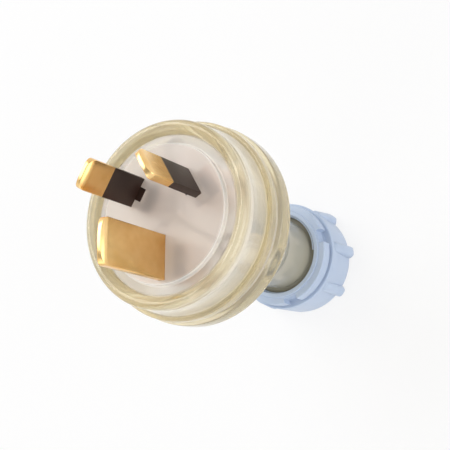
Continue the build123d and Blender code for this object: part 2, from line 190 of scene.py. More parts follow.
def settle(item):
    # Replaces an object's mesh by its evaluated shape and drops its modifiers
    bpy.context.view_layer.update()
    graph = bpy.context.evaluated_depsgraph_get()
    mesh = bpy.data.meshes.new_from_object(item.evaluated_get(graph))
    item.modifiers.clear()
    item.data = mesh
    return item


def combine(item, others, operation):
    for other in others:
        step = item.modifiers.new("step", "BOOLEAN")
        step.operation = operation
        step.solver = "EXACT"
        step.object = other
    settle(item)
    for other in others:
        bpy.data.objects.remove(other)
    return item


def finishPiece(item, body, material, nodes=(), crease=32):
    item.data.materials.clear()
    item.data.materials.append(material)
    for side in item.data.polygons:
        side.use_smooth = True
    item.data.set_sharp_from_angle(angle=math.radians(crease))
    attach(item, body)
    if nodes:
        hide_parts(*nodes)


# Node helpers: a source is a node's output
def mathNode(tree, operation, *sources):
    item = tree.nodes.new("ShaderNodeMath")
    item.operation = operation
    for socket, source in zip(item.inputs, sources):
        if isinstance(source, float):
            socket.default_value = source
        else:
            tree.links.new(source, socket)
    return item.outputs[0]


def remap(tree, source, given, wanted):
    # Turns one range of a value into another
    item = tree.nodes.new("ShaderNodeMapRange")
    labels = ("From Min", "From Max", "To Min", "To Max")
    for label, value in zip(labels, (*given, *wanted)):
        item.inputs[label].default_value = value
    tree.links.new(source, item.inputs["Value"])
    return item.outputs[0]


def objectNoise(tree, pattern, stretch=(1, 1, 1)):
    # The pattern is (scale, detail)
    place = tree.nodes.new("ShaderNodeTexCoord")
    mapping = tree.nodes.new("ShaderNodeMapping")
    mapping.inputs["Scale"].default_value = stretch
    noise = tree.nodes.new("ShaderNodeTexNoise")
    noise.inputs["Scale"].default_value, noise.inputs["Detail"].default_value = pattern
    noise.inputs["Roughness"].default_value = 0.55
    tree.links.new(place.outputs["Object"], mapping.inputs["Vector"])
    tree.links.new(mapping.outputs[0], noise.inputs["Vector"])
    return noise.outputs[0]


def cloudColor(tree, values):
    # A slow pattern between two colours
    item = tree.nodes.new("ShaderNodeValToRGB")
    stops = item.color_ramp.elements
    for stop, place, color in zip(stops, values["cloudSpan"], values["cloudColors"]):
        stop.position = place
        stop.color = color
    tree.links.new(objectNoise(tree, values["cloud"]), item.inputs[0])
    return item.outputs[0]


def addBump(tree, shader, source, strengthAndDepth):
    bump = tree.nodes.new("ShaderNodeBump")
    bump.inputs["Strength"].default_value, bump.inputs["Distance"].default_value = strengthAndDepth
    tree.links.new(source, bump.inputs["Height"])
    tree.links.new(bump.outputs[0], shader.inputs["Normal"])


def newMaterial(name, sockets):
    material = bpy.data.materials.new(name)
    material.use_nodes = True
    tree = material.node_tree
    shader = tree.nodes["Principled BSDF"]
    for label, value in sockets.items():
        shader.inputs[label].default_value = value
    return material, tree, shader


# Clear plastics: the tint and the clear share follow the height, or the distance from the axis
clearLook = {
    # Height above the nut's rear face, then the tint and the clear share there: the thick rims
    # have yellowed most, and the neck has gone cloudy; the tint also darkens down the shoulder to
    # the neck, which is painted shade near the nut
    "tints": (
        (23.0, (0.45, 0.43, 0.35, 0.30)),
        (30.0, (0.68, 0.65, 0.57, 0.45)),
        (46.0, (0.88, 0.86, 0.80, 0.66)),
        (49.2, (0.84, 0.76, 0.52, 0.76)),
        (52.6, (0.86, 0.78, 0.55, 0.76)),
        (53.3, (0.97, 0.95, 0.92, 0.56)),
        (54.0, (0.96, 0.94, 0.90, 0.60)),
        (54.8, (0.89, 0.83, 0.64, 0.76)),
        (56.9, (0.89, 0.83, 0.64, 0.76)),
        (58.0, (0.98, 0.97, 0.96, 0.77)),
        (61.0, (0.98, 0.97, 0.96, 0.77)),
        (62.6, (0.88, 0.82, 0.62, 0.74)),
    ),
    "reach": 70.0,
    "cloud": (60, 3),
    "cloudSpan": (0.35, 0.7),
    "cloudColors": ((1, 1, 1, 1), (0.92, 0.91, 0.88, 1)),
    "grain": (220, 4),
    "rough": (0.10, 0.17),
    "wave": (110, 2),
    "bump": (0.08, 0.0003),
    "absorbColor": (0.88, 0.78, 0.48, 1),
    "absorbDensity": 36.0,
    "lampColor": (0.88, 0.86, 0.80, 1),
    "sockets": {"IOR": 1.30, "Coat Weight": 0.6, "Coat Roughness": 0.03},
}
frostLook = {
    # Distance from the axis, then the tint and the clear share there: the white band at the disc's
    # edge is a painted highlight
    "tints": (
        (14.1, (0.83, 0.77, 0.73, 0.44)),
        (14.35, (1.0, 1.0, 1.0, 0.34)),
        (14.5, (1.0, 1.0, 1.0, 0.34)),
        (14.8, (0.89, 0.88, 0.88, 0.72)),
        (16.3, (0.89, 0.88, 0.88, 0.72)),
        (16.6, (0.97, 0.95, 0.92, 0.50)),
    ),
    "reach": 20.0,
    "cloud": (45, 3),
    "cloudSpan": (0.3, 0.75),
    "cloudColors": ((1, 1, 1, 1), (0.95, 0.93, 0.91, 1)),
    "frostEnd": (14.0, 14.3),
    "rough": (0.45, 0.12),
    "wave": (900, 4),
    "bump": (0.15, 0.0001),
    "lampColor": (0.78, 0.76, 0.73, 1),
    "sockets": {"IOR": 1.30, "Coat Weight": 0.15, "Coat Roughness": 0.25},
}


def heightOf(tree):
    place = tree.nodes.new("ShaderNodeTexCoord")
    axes = tree.nodes.new("ShaderNodeSeparateXYZ")
    tree.links.new(place.outputs["Object"], axes.inputs[0])
    return axes.outputs["Z"]


def radiusOf(tree):
    place = tree.nodes.new("ShaderNodeTexCoord")
    flat = tree.nodes.new("ShaderNodeVectorMath")
    flat.operation = "MULTIPLY"
    flat.inputs[1].default_value = (1, 1, 0)
    tree.links.new(place.outputs["Object"], flat.inputs[0])
    length = tree.nodes.new("ShaderNodeVectorMath")
    length.operation = "LENGTH"
    tree.links.new(flat.outputs[0], length.inputs[0])
    return length.outputs["Value"]


def tintStops(tree, distance, values):
    item = tree.nodes.new("ShaderNodeValToRGB")
    tints, reach = values["tints"], values["reach"]
    stops = item.color_ramp.elements
    for stop, (place, color) in ((stops[0], tints[0]), (stops[1], tints[-1])):
        stop.position = place / reach
        stop.color = color
    for place, color in tints[1:-1]:
        stops.new(place / reach).color = color
    tree.links.new(remap(tree, distance, (0, reach * mm), (0, 1)), item.inputs[0])
    return item


def makeHazy(name, measure, values):
    material, tree, shader = newMaterial(name, values["sockets"])
    tints = tintStops(tree, measure(tree), values)
    tinted = tree.nodes.new("ShaderNodeMix")
    tinted.data_type = "RGBA"
    tinted.blend_type = "MULTIPLY"
    factor, one, two = tinted.inputs[0], tinted.inputs[6], tinted.inputs[7]
    factor.default_value = 1.0
    tree.links.new(tints.outputs[0], one)
    tree.links.new(cloudColor(tree, values), two)
    tree.links.new(tinted.outputs[2], shader.inputs["Base Color"])
    tree.links.new(tints.outputs["Alpha"], shader.inputs["Transmission Weight"])
    addBump(tree, shader, objectNoise(tree, values["wave"]), values["bump"])
    # Rays from the lamps pass the plastic, so that the inside and the floor behind it are lit
    path = tree.nodes.new("ShaderNodeLightPath")
    passing = tree.nodes.new("ShaderNodeBsdfTransparent")
    passing.inputs["Color"].default_value = values["lampColor"]
    mix = tree.nodes.new("ShaderNodeMixShader")
    tree.links.new(path.outputs["Is Shadow Ray"], mix.inputs[0])
    tree.links.new(shader.outputs[0], mix.inputs[1])
    tree.links.new(passing.outputs[0], mix.inputs[2])
    tree.links.new(mix.outputs[0], tree.nodes["Material Output"].inputs["Surface"])
    return material, tree, shader


def makeClear(values):
    material, tree, shader = makeHazy("agedClearPlastic", heightOf, values)
    rough = remap(tree, objectNoise(tree, values["grain"]), (0, 1), values["rough"])
    tree.links.new(rough, shader.inputs["Roughness"])
    absorb = tree.nodes.new("ShaderNodeVolumeAbsorption")
    absorb.inputs["Color"].default_value = values["absorbColor"]
    absorb.inputs["Density"].default_value = values["absorbDensity"]
    tree.links.new(absorb.outputs[0], tree.nodes["Material Output"].inputs["Volume"])
    return material


def makeFrosted(values):
    # The pin face is frosted; its edge and the ledge round it are left smooth
    material, tree, shader = makeHazy("frostedPlastic", radiusOf, values)
    start, end = values["frostEnd"]
    rough = remap(tree, radiusOf(tree), (start * mm, end * mm), values["rough"])
    tree.links.new(rough, shader.inputs["Roughness"])
    return material


# Solid materials: a slow pattern in the colour, a fine one in the roughness and the bump
metal = {
    "cloud": (130, 4),
    "cloudSpan": (0.35, 0.7),
    "grain": (900, 4),
    "stretch": (1, 1, 1),
    "bump": (0.06, 0.00003),
    "sockets": {"Metallic": 1.0},
}
moulded = {
    "cloud": (90, 3),
    "cloudSpan": (0.35, 0.7),
    "stretch": (1, 1, 1),
    "bump": (0.2, 0.00003),
    "sockets": {},
}
looks = {
    "drawnBrass": {
        **metal,
        "stretch": (1, 1, 0.06),
        "cloudColors": ((0.80, 0.48, 0.17, 1), (0.97, 0.69, 0.33, 1)),
        "rough": (0.20, 0.30),
    },
    "castBrass": {
        **metal,
        "cloudColors": ((0.94, 0.62, 0.36, 1), (0.97, 0.72, 0.48, 1)),
        "rough": (0.42, 0.56),
    },
    "platedSteel": {
        **metal,
        "cloudColors": ((0.52, 0.52, 0.53, 1), (0.66, 0.65, 0.63, 1)),
        "rough": (0.22, 0.38),
    },
    "brownSleeve": {
        **moulded,
        "grain": (600, 4),
        "cloudColors": ((0.020, 0.008, 0.005, 1), (0.036, 0.017, 0.012, 1)),
        "rough": (0.30, 0.42),
        "sockets": {"Specular IOR Level": 0.45},
    },
    "paleBlueNut": {
        **moulded,
        "grain": (500, 4),
        "cloudColors": ((0.42, 0.51, 0.67, 1), (0.46, 0.55, 0.70, 1)),
        "rough": (0.30, 0.42),
        "sockets": {
            "Subsurface Weight": 0.15,
            "Subsurface Radius": (0.8, 0.9, 1.0),
            "Subsurface Scale": 0.0015,
        },
    },
    "blackRubber": {
        **moulded,
        "grain": (800, 4),
        "cloudColors": ((0.02, 0.02, 0.021, 1), (0.035, 0.035, 0.036, 1)),
        "rough": (0.55, 0.75),
    },
    "naturalNylon": {
        **moulded,
        "grain": (600, 4),
        "cloudColors": ((0.72, 0.71, 0.66, 1), (0.80, 0.79, 0.75, 1)),
        "rough": (0.35, 0.5),
    },
}


def makeSolid(name, values):
    material, tree, shader = newMaterial(name, values["sockets"])
    tree.links.new(cloudColor(tree, values), shader.inputs["Base Color"])
    grain = objectNoise(tree, values["grain"], values["stretch"])
    tree.links.new(remap(tree, grain, (0, 1), values["rough"]), shader.inputs["Roughness"])
    addBump(tree, shader, grain, values["bump"])
    return material


clearPlastic = makeClear(clearLook)
frostedPlastic = makeFrosted(frostLook)
brass = makeSolid("drawnBrass", looks["drawnBrass"])
castBrass = makeSolid("castBrass", looks["castBrass"])
plated = makeSolid("platedSteel", looks["platedSteel"])
sleevePlastic = makeSolid("brownSleeve", looks["brownSleeve"])
nutPlastic = makeSolid("paleBlueNut", looks["paleBlueNut"])
rubber = makeSolid("blackRubber", looks["blackRubber"])
nylon = makeSolid("naturalNylon", looks["naturalNylon"])
print("materials ready")


# Geometry Nodes: one tree sets copies of a shape round the axis, one winds a thread
def newTree(name, inputs):
    tree = bpy.data.node_groups.new(name, "GeometryNodeTree")
    tree.interface.new_socket("Geometry", in_out="OUTPUT", socket_type="NodeSocketGeometry")
    for label, kind in inputs.items():
        tree.interface.new_socket(label, in_out="INPUT", socket_type=f"NodeSocket{kind}")
    return tree, tree.nodes.new("NodeGroupInput").outputs


def closeTree(tree, made, material):
    # The end of both trees: plain geometry with one material
    real = tree.nodes.new("GeometryNodeRealizeInstances")
    paint = tree.nodes.new("GeometryNodeSetMaterial")
    result = tree.nodes.new("NodeGroupOutput")
    tree.links.new(made, real.inputs[0])
    tree.links.new(real.outputs[0], paint.inputs["Geometry"])
    tree.links.new(material, paint.inputs["Material"])
    tree.links.new(paint.outputs[0], result.inputs[0])
    return tree


def makeRingTree():
    tree, given = newTree(
        "copiesRoundAxis",
        {
            "Shape": "Object",
            "Count": "Int",
            "Step": "Float",
            "Radius": "Float",
            "Phase": "Float",
            "Material": "Material",
        },
    )
    nodes, links = tree.nodes, tree.links
    points = nodes.new("GeometryNodePoints")
    index = nodes.new("GeometryNodeInputIndex")
    place = nodes.new("ShaderNodeCombineXYZ")
    turn = nodes.new("ShaderNodeCombineXYZ")
    shape = nodes.new("GeometryNodeObjectInfo")
    copies = nodes.new("GeometryNodeInstanceOnPoints")
    step = mathNode(tree, "RADIANS", given["Step"])
    phase = mathNode(tree, "RADIANS", given["Phase"])
    angle = mathNode(tree, "MULTIPLY_ADD", index.outputs[0], step, phase)
    for label, operation in (("X", "COSINE"), ("Y", "SINE")):
        share = mathNode(tree, operation, angle)
        links.new(mathNode(tree, "MULTIPLY", share, given["Radius"]), place.inputs[label])
    links.new(given["Count"], points.inputs["Count"])
    links.new(place.outputs[0], points.inputs["Position"])
    links.new(angle, turn.inputs["Z"])
    links.new(given["Shape"], shape.inputs["Object"])
    links.new(points.outputs[0], copies.inputs["Points"])
    links.new(shape.outputs["Geometry"], copies.inputs["Instance"])
    links.new(turn.outputs[0], copies.inputs["Rotation"])
    return closeTree(tree, copies.outputs[0], given["Material"])


def makeThreadTree():
    tree, given = newTree(
        "woundThread",
        {
            "Radius": "Float",
            "Turns": "Float",
            "Length": "Float",
            "Low": "Float",
            "Ridge": "Float",
            "Material": "Material",
        },
    )
    nodes, links = tree.nodes, tree.links
    turnSteps, ridgeSides = 64, 6
    helix = nodes.new("GeometryNodeCurveSpiral")
    helix.inputs["Resolution"].default_value = turnSteps
    ridge = nodes.new("GeometryNodeCurvePrimitiveCircle")
    ridge.inputs["Resolution"].default_value = ridgeSides
    lift = nodes.new("ShaderNodeCombineXYZ")
    shift = nodes.new("GeometryNodeTransform")
    sweep = nodes.new("GeometryNodeCurveToMesh")
    sweep.inputs["Fill Caps"].default_value = True
    links.new(given["Turns"], helix.inputs["Rotations"])
    links.new(given["Radius"], helix.inputs["Start Radius"])
    links.new(given["Radius"], helix.inputs["End Radius"])
    links.new(given["Length"], helix.inputs["Height"])
    links.new(given["Ridge"], ridge.inputs["Radius"])
    links.new(helix.outputs[0], shift.inputs["Geometry"])
    links.new(given["Low"], lift.inputs["Z"])
    links.new(lift.outputs[0], shift.inputs["Translation"])
    links.new(shift.outputs[0], sweep.inputs["Curve"])
    links.new(ridge.outputs[0], sweep.inputs["Profile Curve"])
    return closeTree(tree, sweep.outputs[0], given["Material"])


def growPiece(name, tree, values):
    # Runs a tree once with the given inputs and keeps the plain mesh
    item = addObject(name, bpy.data.meshes.new(name))
    step = item.modifiers.new("grow", "NODES")
    step.node_group = tree
    for entry in tree.interface.items_tree:
        if entry.in_out == "INPUT":
            step[entry.identifier] = values[entry.name]
    return settle(item)


ringTree = makeRingTree()
threadTree = makeThreadTree()


def copyRound(name, shape, count, step, phase, material, radius=0.0):
    # Sets copies of an object round the axis, then drops the object
    values = {
        "Shape": shape,
        "Count": count,
        "Step": step,
        "Radius": radius * mm,
        "Phase": phase,
        "Material": material,
    }
    item = growPiece(name, ringTree, values)
    bpy.data.objects.remove(shape)
    return item


# Front ring: crowned rim, flared wall, flange band and spigot
frontRing = {
    "lip": (16.6, 1.1),
    "lipRear": (16.6, 3.2, 0.15),
    # The crown stands a little above the pin face
    "crown": (18.2, -0.35),
    "rim": (19.4, 0.9),
    "arcSteps": 12,
    "roundSteps": 192,
    # From the wall's waist over the band and the spigot to the inner wall: radius, depth, rounding
    "wall": (
        (19.2, 2.5, 3.0),
        (20.1, 6.9, 0.35),
        (20.9, 6.9, 0.5),
        (20.9, 9.4, 0.5),
        (20.4, 9.4, 0.12),
        (20.4, 10.8, 0.15),
        (18.6, 10.8, 0.12),
        (18.6, 13.6, 0.25),
        (17.4, 13.6, 0.15),
        (17.4, 3.2, 0.15),
    ),
}


def makeFrontRing(v):
    lip, crown, rim = v["lip"], v["crown"], v["rim"]
    inside = arcThrough(lip, ((lip[0] + crown[0]) / 2, 0), crown, v["arcSteps"])
    outside = arcThrough(crown, (rim[0] - (rim[0] - crown[0]) / 4, 0), rim, v["arcSteps"])
    points = [v["lipRear"], *inside[:-1], *outside, *v["wall"]]
    return revolve("frontRing", section(points), v["roundSteps"])


finishPiece(makeFrontRing(frontRing), "plug_body", clearPlastic, ["front_housing"])
print("front ring made")

# Blades and their insulating sleeves
blades = {
    "thick": 1.63,
    "tangThick": 0.83,
    "tangWidth": 5.15,
    "tangEnd": 7.4,
    "tangLap": 0.3,
    "bevelLength": 1.5,
    "bevelDepth": 0.5,
    "crownLength": 1.9,
    "crownBend": 2.7,
    "crownSteps": 16,
    "footRow": 0.02,
    "crownRow": 0.2,
    "edge": 0.18,
    "sleeveEdge": 0.1,
    "keyEdge": 0.08,
    "keyLap": 0.1,
}

# Pin carrier: raised frosted disc on a flanged plate, barriers, pillars and the pin slots
pinCarrier = {
    # Radius, depth, rounding
    "plate": (
        (0, 5.2, 0),
        (17.3, 5.2, 0.25),
        (17.3, 3.2, 0.15),
        (16.5, 3.2, 0.15),
        (16.5, 1.1, 0.3),
        (14.45, 1.1, 0.2),
        (14.45, 0, 0.35),
        (0, 0, 0),
    ),
    "roundSteps": 160,
    "thick": 5.2,
    "barrierThick": 1.4,
    "barrierDepth": 12.6,
    "barrierEdge": 0.12,
    "pillarRadius": 2.6,
    "pillarSteps": 64,
    "holeRadius": 1.45,
    "holeDepth": 6.95,
    "holeSteps": 32,
    "slotGap": 0.04,
}


def keyBlock(name, pole, lap, gap, high, rise, edge):
    # The sleeve's locating key, or the slot for it, on the blade's inner side
    key = pole["blade"]["key"]
    circle = pole["circle"] - blades["thick"] / 2 - key["reach"] / 2 + lap
    x, y = atAngle(pole["angle"], circle, plug["rise"])
    size = (key["reach"] + 2 * lap + gap, key["width"] + gap, high)
    place = (x, y, face - key["depth"] / 2 + rise)
    return block(name, size, place, pole["angle"] + pole["twist"], edge)


def makePinCarrier(v):
    plate = revolve("pinCarrier", section(v["plate"]), v["roundSteps"])
    circle, high = plug["pillarCircle"], face - v["thick"] + past / 2
    low, foot = face - v["barrierDepth"], face - plug["pillarDepth"]
    added = []
    cuts = []
    for angle in plug["pillars"]:
        size = (circle, v["barrierThick"], high - low)
        place = (*atAngle(angle, circle / 2), (high + low) / 2)
        added.append(block(f"barrier{angle}", size, place, angle, v["barrierEdge"]))
        place = atAngle(angle, circle)
        added.append(tube(f"pillar{angle}", v["pillarRadius"], foot, high, place, v["pillarSteps"]))
        top = face - v["holeDepth"]
        cuts.append(tube(f"hole{angle}", v["holeRadius"], foot - past, top, place, v["holeSteps"]))
    combine(plate, added, "UNION")
    gap = 2 * v["slotGap"]
    for name, pole in poles.items():
        blade, turn = pole["blade"], pole["angle"] + pole["twist"]
        x, y = atAngle(pole["angle"], pole["circle"], plug["rise"])
        seat = blade["seat"]
        size = (blades["thick"] + gap, blade["width"] + gap, seat + past)
        cuts.append(block(f"slot{name}", size, (x, y, face - seat / 2 + past / 2), turn))
        size = (blades["tangThick"] + gap, blades["tangWidth"] + gap, v["thick"] + 2 * past)
        cuts.append(block(f"tangSlot{name}", size, (x, y, face - v["thick"] / 2), turn))
        if "key" in blade:
            high = blade["key"]["depth"] + past
            cuts.append(keyBlock(f"keySlot{name}", pole, 0, gap, high, past / 2, 0))
    return combine(plate, cuts, "DIFFERENCE")


def makeBlade(name, pole, v):
    # Rings of the blade's section from its foot to its tip, narrowing at the crowned end
    blade, turn = pole["blade"], pole["angle"] + pole["twist"]
    x, y = atAngle(pole["angle"], pole["circle"], plug["rise"])
    crown, bend, bevel, edge = v["crownLength"], v["crownBend"], v["bevelLength"], v["edge"]
    length, foot = blade["length"], blade["foot"]
    heights = [foot, foot + v["footRow"], length - crown - v["crownRow"], length - crown]
    for k in range(1, v["crownSteps"] + 1):
        heights.append(length - crown + crown * math.sin(math.pi / 2 * k / v["crownSteps"]))
    rings = []
    for h in heights:
        left = length - h
        closing = max(1 - left / crown, 0) ** bend
        slimmer = v["bevelDepth"] * (max(bevel - left, 0) / bevel) ** 2
        wide = max(blade["width"] / 2 * (1 - closing) ** (1 / bend), 2 * edge)
        thin = max(v["thick"] / 2 - slimmer, 2 * edge)
        ring = []
        for sx, sy, start in ((1, 1, 0), (-1, 1, 90), (-1, -1, 180), (1, -1, 270)):
            for step in (0, 30, 60, 90):
                ex, ey = atAngle(start + step, edge)
                ring.append((sx * (thin - edge) + ex, sy * (wide - edge) + ey, h))
        rings.append(ring)
    item = loft(f"{name}Blade", rings)
    spin = Matrix.Rotation(math.radians(turn), 4, "Z")
    item.data.transform(Matrix.Translation(Vector((x, y, face)) * mm) @ spin)
    top = foot + v["tangLap"]
    size = (v["tangThick"], v["tangWidth"], top + v["tangEnd"])
    tang = block(f"{name}Tang", size, (x, y, face + (top - v["tangEnd"]) / 2), turn)
    return combine(item, [tang], "UNION")


def makeSleeve(name, pole, v):
    blade, turn = pole["blade"], pole["angle"] + pole["twist"]
    x, y = atAngle(pole["angle"], pole["circle"], plug["rise"])
    low, high = face - blade["seat"], face + blade["foot"]
    place = (x, y, (low + high) / 2)
    size = (v["thick"], blade["width"], high - low)
    body = block(f"{name}Sleeve", size, place, turn, v["sleeveEdge"])
    key = keyBlock(f"{name}Key", pole, v["keyLap"], 0, blade["key"]["depth"], 0, v["keyEdge"])
    combine(body, [key], "UNION")
    size = (v["tangThick"], v["tangWidth"], high - low + 2 * past)
    core = block(f"{name}Core", size, place, turn)
    return combine(body, [core], "DIFFERENCE")


finishPiece(makePinCarrier(pinCarrier), "plug_body", frostedPlastic, ["pin_base"])
print("pin carrier made")
for name, pole in poles.items():
    finishPiece(makeBlade(name, pole, blades), "plug_body", brass, [f"{name}_pin"])
for name in ("active", "neutral"):
    sleeve = makeSleeve(name, poles[name], blades)
    finishPiece(sleeve, "plug_body", sleevePlastic, [f"{name}_sleeve"])
print("blades and sleeves made")

# Rear shell: flange band, domed shoulder, screw pockets and the threaded neck
rearShell = {
    "band": ((21.3, 10.8, 0.5), (21.3, 14.8, 0.9)),
    "shoulder": (19.4, 14.8),
    "middle": (15.5, 24.4),
    "shoulderEnd": (9.6, 35.0),
    "shoulderRound": (0.3, 3.0),
    "arcSteps": 24,
    "threadRadius": 9.1,
    # From the neck's front over the thread and the grommet's seat to the neck's bore
    "neck": (
        (8.4, 38.5, 3.0),
        (8.4, 49.5, 0.2),
        (9.1, 50.1, 0.2),
        (9.1, 57.0, 0.4),
        (7.55, 57.0, 0.2),
        (7.55, 54.6, 0.1),
        (6.4, 54.6, 0.15),
        (6.4, 38.5, 2.0),
    ),
    "socket": ((17.4, 13.7, 0.2), (18.7, 13.7, 0.1), (18.7, 10.8, 0.15)),
    "wall": 2.0,
    "pocket": 2.9,
    "pocketSeat": 18.0,
    "pocketEnd": 38.5,
    "pocketWall": 1.4,
    "bossEnd": 33.0,
    "screwHole": 1.6,
    "roundSteps": 192,
    "limitSteps": 96,
    "pocketSteps": 48,
    "holeSteps": 32,
}


def makeRearShell(v):
    wall, low = v["wall"], face - plug["pillarDepth"]
    dome = (v["shoulder"], v["middle"], v["shoulderEnd"])
    outer = arcThrough(*dome, v["arcSteps"])
    inner = arcThrough(*[(radius - wall, depth) for radius, depth in dome], v["arcSteps"])
    front, rear = v["shoulderRound"]
    points = [*v["band"], (*v["shoulder"], front), *outer[1:-1], (*v["shoulderEnd"], rear)]
    points += [*v["neck"], *reversed(inner), *v["socket"]]
    shell = revolve("rearShell", section(points), v["roundSteps"])
    # The pockets' walls are kept inside the shoulder
    limit = [(0, low)] + [(radius + wall / 2, face - depth) for radius, depth, rounding in inner]
    space = revolve("bossLimit", limit + [(0, face - v["shoulderEnd"][1])], v["limitSteps"])
    bosses = []
    cuts = []
    seat = face - v["pocketSeat"]
    for angle in plug["pillars"]:
        place = atAngle(angle, plug["pillarCircle"])
        radius = v["pocket"] + v["pocketWall"]
        boss = tube(f"boss{angle}", radius, face - v["bossEnd"], low, place, v["pocketSteps"])
        bosses.append(combine(boss, [addObject("keep", space.data.copy())], "INTERSECT"))
        end = face - v["pocketEnd"]
        cuts.append(tube(f"pocket{angle}", v["pocket"], end, seat, place, v["pocketSteps"]))
        ends = (seat - past, low + past)
        cuts.append(tube(f"way{angle}", v["screwHole"], *ends, place, v["holeSteps"]))
    bpy.data.objects.remove(space)
    combine(shell, bosses, "UNION")
    return combine(shell, cuts, "DIFFERENCE")


finishPiece(makeRearShell(rearShell), "plug_body", clearPlastic, ["rear_cover"])
print("rear shell made")

# Terminals: brass tunnel blocks with rounded edges, each with its slotted screw
terminal = {
    "radial": 7.0,
    "tangential": 7.4,
    "high": 7.5,
    "top": 5.2,
    "edge": 0.4,
    "tunnel": 1.7,
    "tunnelDepth": 9.8,
    "tunnelSteps": 40,
    "screwHole": 1.75,
    "holeSteps": 32,
}


def makeTerminal(name, pole, v):
    turn = pole["angle"]
    x, y = atAngle(turn, pole["circle"], plug["rise"])
    top, axis = face - v["top"], face - v["tunnelDepth"]
    size = (v["radial"], v["tangential"], v["high"])
    item = block(f"{name}Terminal", size, (x, y, top - v["high"] / 2), turn, v["edge"], 2)
    reach = v["radial"]
    tunnel = tube(f"{name}Tunnel", v["tunnel"], -reach, reach, (0, 0), v["tunnelSteps"])
    tunnel.data.transform(
        Matrix.Translation(Vector((x, y, axis)) * mm)
        @ Matrix.Rotation(math.radians(turn), 4, "Z")
        @ Matrix.Rotation(math.radians(90), 4, "Y")
    )
    low = top - v["high"] - past
    screwWay = tube(f"{name}Way", v["screwHole"], low, axis, (x, y), v["holeSteps"])
    size = (blades["tangThick"], blades["tangWidth"], 2 * (blades["tangEnd"] - v["top"]))
    tang = block(f"{name}TangWay", size, (x, y, top), turn + pole["twist"])
    return combine(item, [tunnel, screwWay, tang], "DIFFERENCE")


for name, pole in poles.items():
    item = makeTerminal(name, pole, terminal)
    finishPiece(item, "plug_body", castBrass, [f"{name}_terminal"])
print("terminals made")

# Screws: slotted heads on the terminals, cross-recessed heads in the case pockets
terminalScrew = {
    "headRadius": 2.5,
    "headHigh": 1.5,
    "headGap": 0.5,
    "headRound": (0.35, 0.12),
    "slotWide": 0.7,
    "slotDeep": 0.8,
    "slotTurn": 35,
    "shankRadius": 1.7,
    "shankRound": (0.08, 0.25),
    "tip": 10.3,
    "cornerSteps": 4,
    "roundSteps": 48,
}
caseScrew = {
    "headRadius": 2.5,
    "headHigh": 1.7,
    "headRound": (0.85, 0.1),
    "seat": 18.0,
    "crossWide": 0.7,
    "crossLong": 3.0,
    "crossDeep": 1.0,
    "crossTurn": 20,
    "crossEdge": 0.1,
    "shankRadius": 1.4,
    "shankRound": (0.08, 0.4),
    "tip": 7.0,
    "cornerSteps": 5,
    "roundSteps": 48,
}


def turnScrew(name, front, v):
    # The head's front side lies at this depth, and the shank points to the pins
    rear = front + v["headHigh"]
    points = [
        (0, rear, 0),
        (v["headRadius"], rear, v["headRound"][0]),
        (v["headRadius"], front, v["headRound"][1]),
        (v["shankRadius"], front, v["shankRound"][0]),
        (v["shankRadius"], v["tip"], v["shankRound"][1]),
        (0, v["tip"], 0),
    ]
    return revolve(name, section(points, v["cornerSteps"]), v["roundSteps"]), face - rear


def makeTerminalScrew(name, pole, v):
    front = terminal["top"] + terminal["high"] + v["headGap"]
    item, rear = turnScrew(f"{name}TerminalScrew", front, v)
    size = (3 * v["headRadius"], v["slotWide"], 2 * v["slotDeep"])
    slot = block("slot", size, (0, 0, rear), pole["angle"] + v["slotTurn"])
    combine(item, [slot], "DIFFERENCE")
    x, y = atAngle(pole["angle"], pole["circle"], plug["rise"])
    item.data.transform(Matrix.Translation(Vector((x, y, 0)) * mm))
    return item


def makeCaseScrew(v):
    item, rear = turnScrew("caseScrew", v["seat"], v)
    wide, long, deep = v["crossWide"], v["crossLong"], 2 * v["crossDeep"]
    one = block("crossOne", (long, wide, deep), (0, 0, rear), v["crossTurn"], v["crossEdge"])
    two = block("crossTwo", (wide, long, deep), (0, 0, rear), v["crossTurn"], v["crossEdge"])
    return combine(item, [one, two], "DIFFERENCE")


for name, pole in poles.items():
    item = makeTerminalScrew(name, pole, terminalScrew)
    finishPiece(item, "plug_body", plated, [f"{name}_terminal_screw"])
caseScrews = copyRound(
    "caseScrews",
    makeCaseScrew(caseScrew),
    len(plug["pillars"]),
    360.0 / len(plug["pillars"]),
    float(plug["pillars"][0]),
    plated,
    plug["pillarCircle"],
)
screwNodes = [f"case_screw_{k}" for k in (1, 2, 3)]
finishPiece(caseScrews, "plug_body", plated, screwNodes)
print("screws made")

# Grommet in the neck's end and the slip ring in the nut
gland = {
    "neckEnd": 57.0,
    "flangeThick": 1.3,
    "ringGap": 0.3,
    "ringThick": 1.1,
    "ringPlay": 0.05,
    "grommet": (
        (5.0, 54.6, 0.4),
        (7.4, 54.6, 0.3),
        (7.4, 57.0, 0.1),
        (8.2, 57.0, 0.4),
        (8.2, 58.3, 0.5),
        (5.0, 58.3, 0.4),
    ),
    "ring": (5.9, 9.8),
    "ringRound": 0.25,
    "ringSteps": 3,
    "roundSteps": 96,
}
ringFront = gland["neckEnd"] + gland["flangeThick"] + gland["ringGap"]
ringRear = ringFront + gland["ringThick"]


def makeSlipRing(v):
    bore, radius = v["ring"]
    corners = ((bore, ringFront), (radius, ringFront), (radius, ringRear), (bore, ringRear))
    points = [(*corner, v["ringRound"]) for corner in corners]
    return revolve("slipRing", section(points, v["ringSteps"]), v["roundSteps"])


grommet = revolve("cordGrommet", section(gland["grommet"]), gland["roundSteps"])
finishPiece(grommet, "plug_body", rubber, ["cord_grommet"])
finishPiece(makeSlipRing(gland), "slip_ring", nylon, ["slip_ring"])
print("grommet and slip ring made")

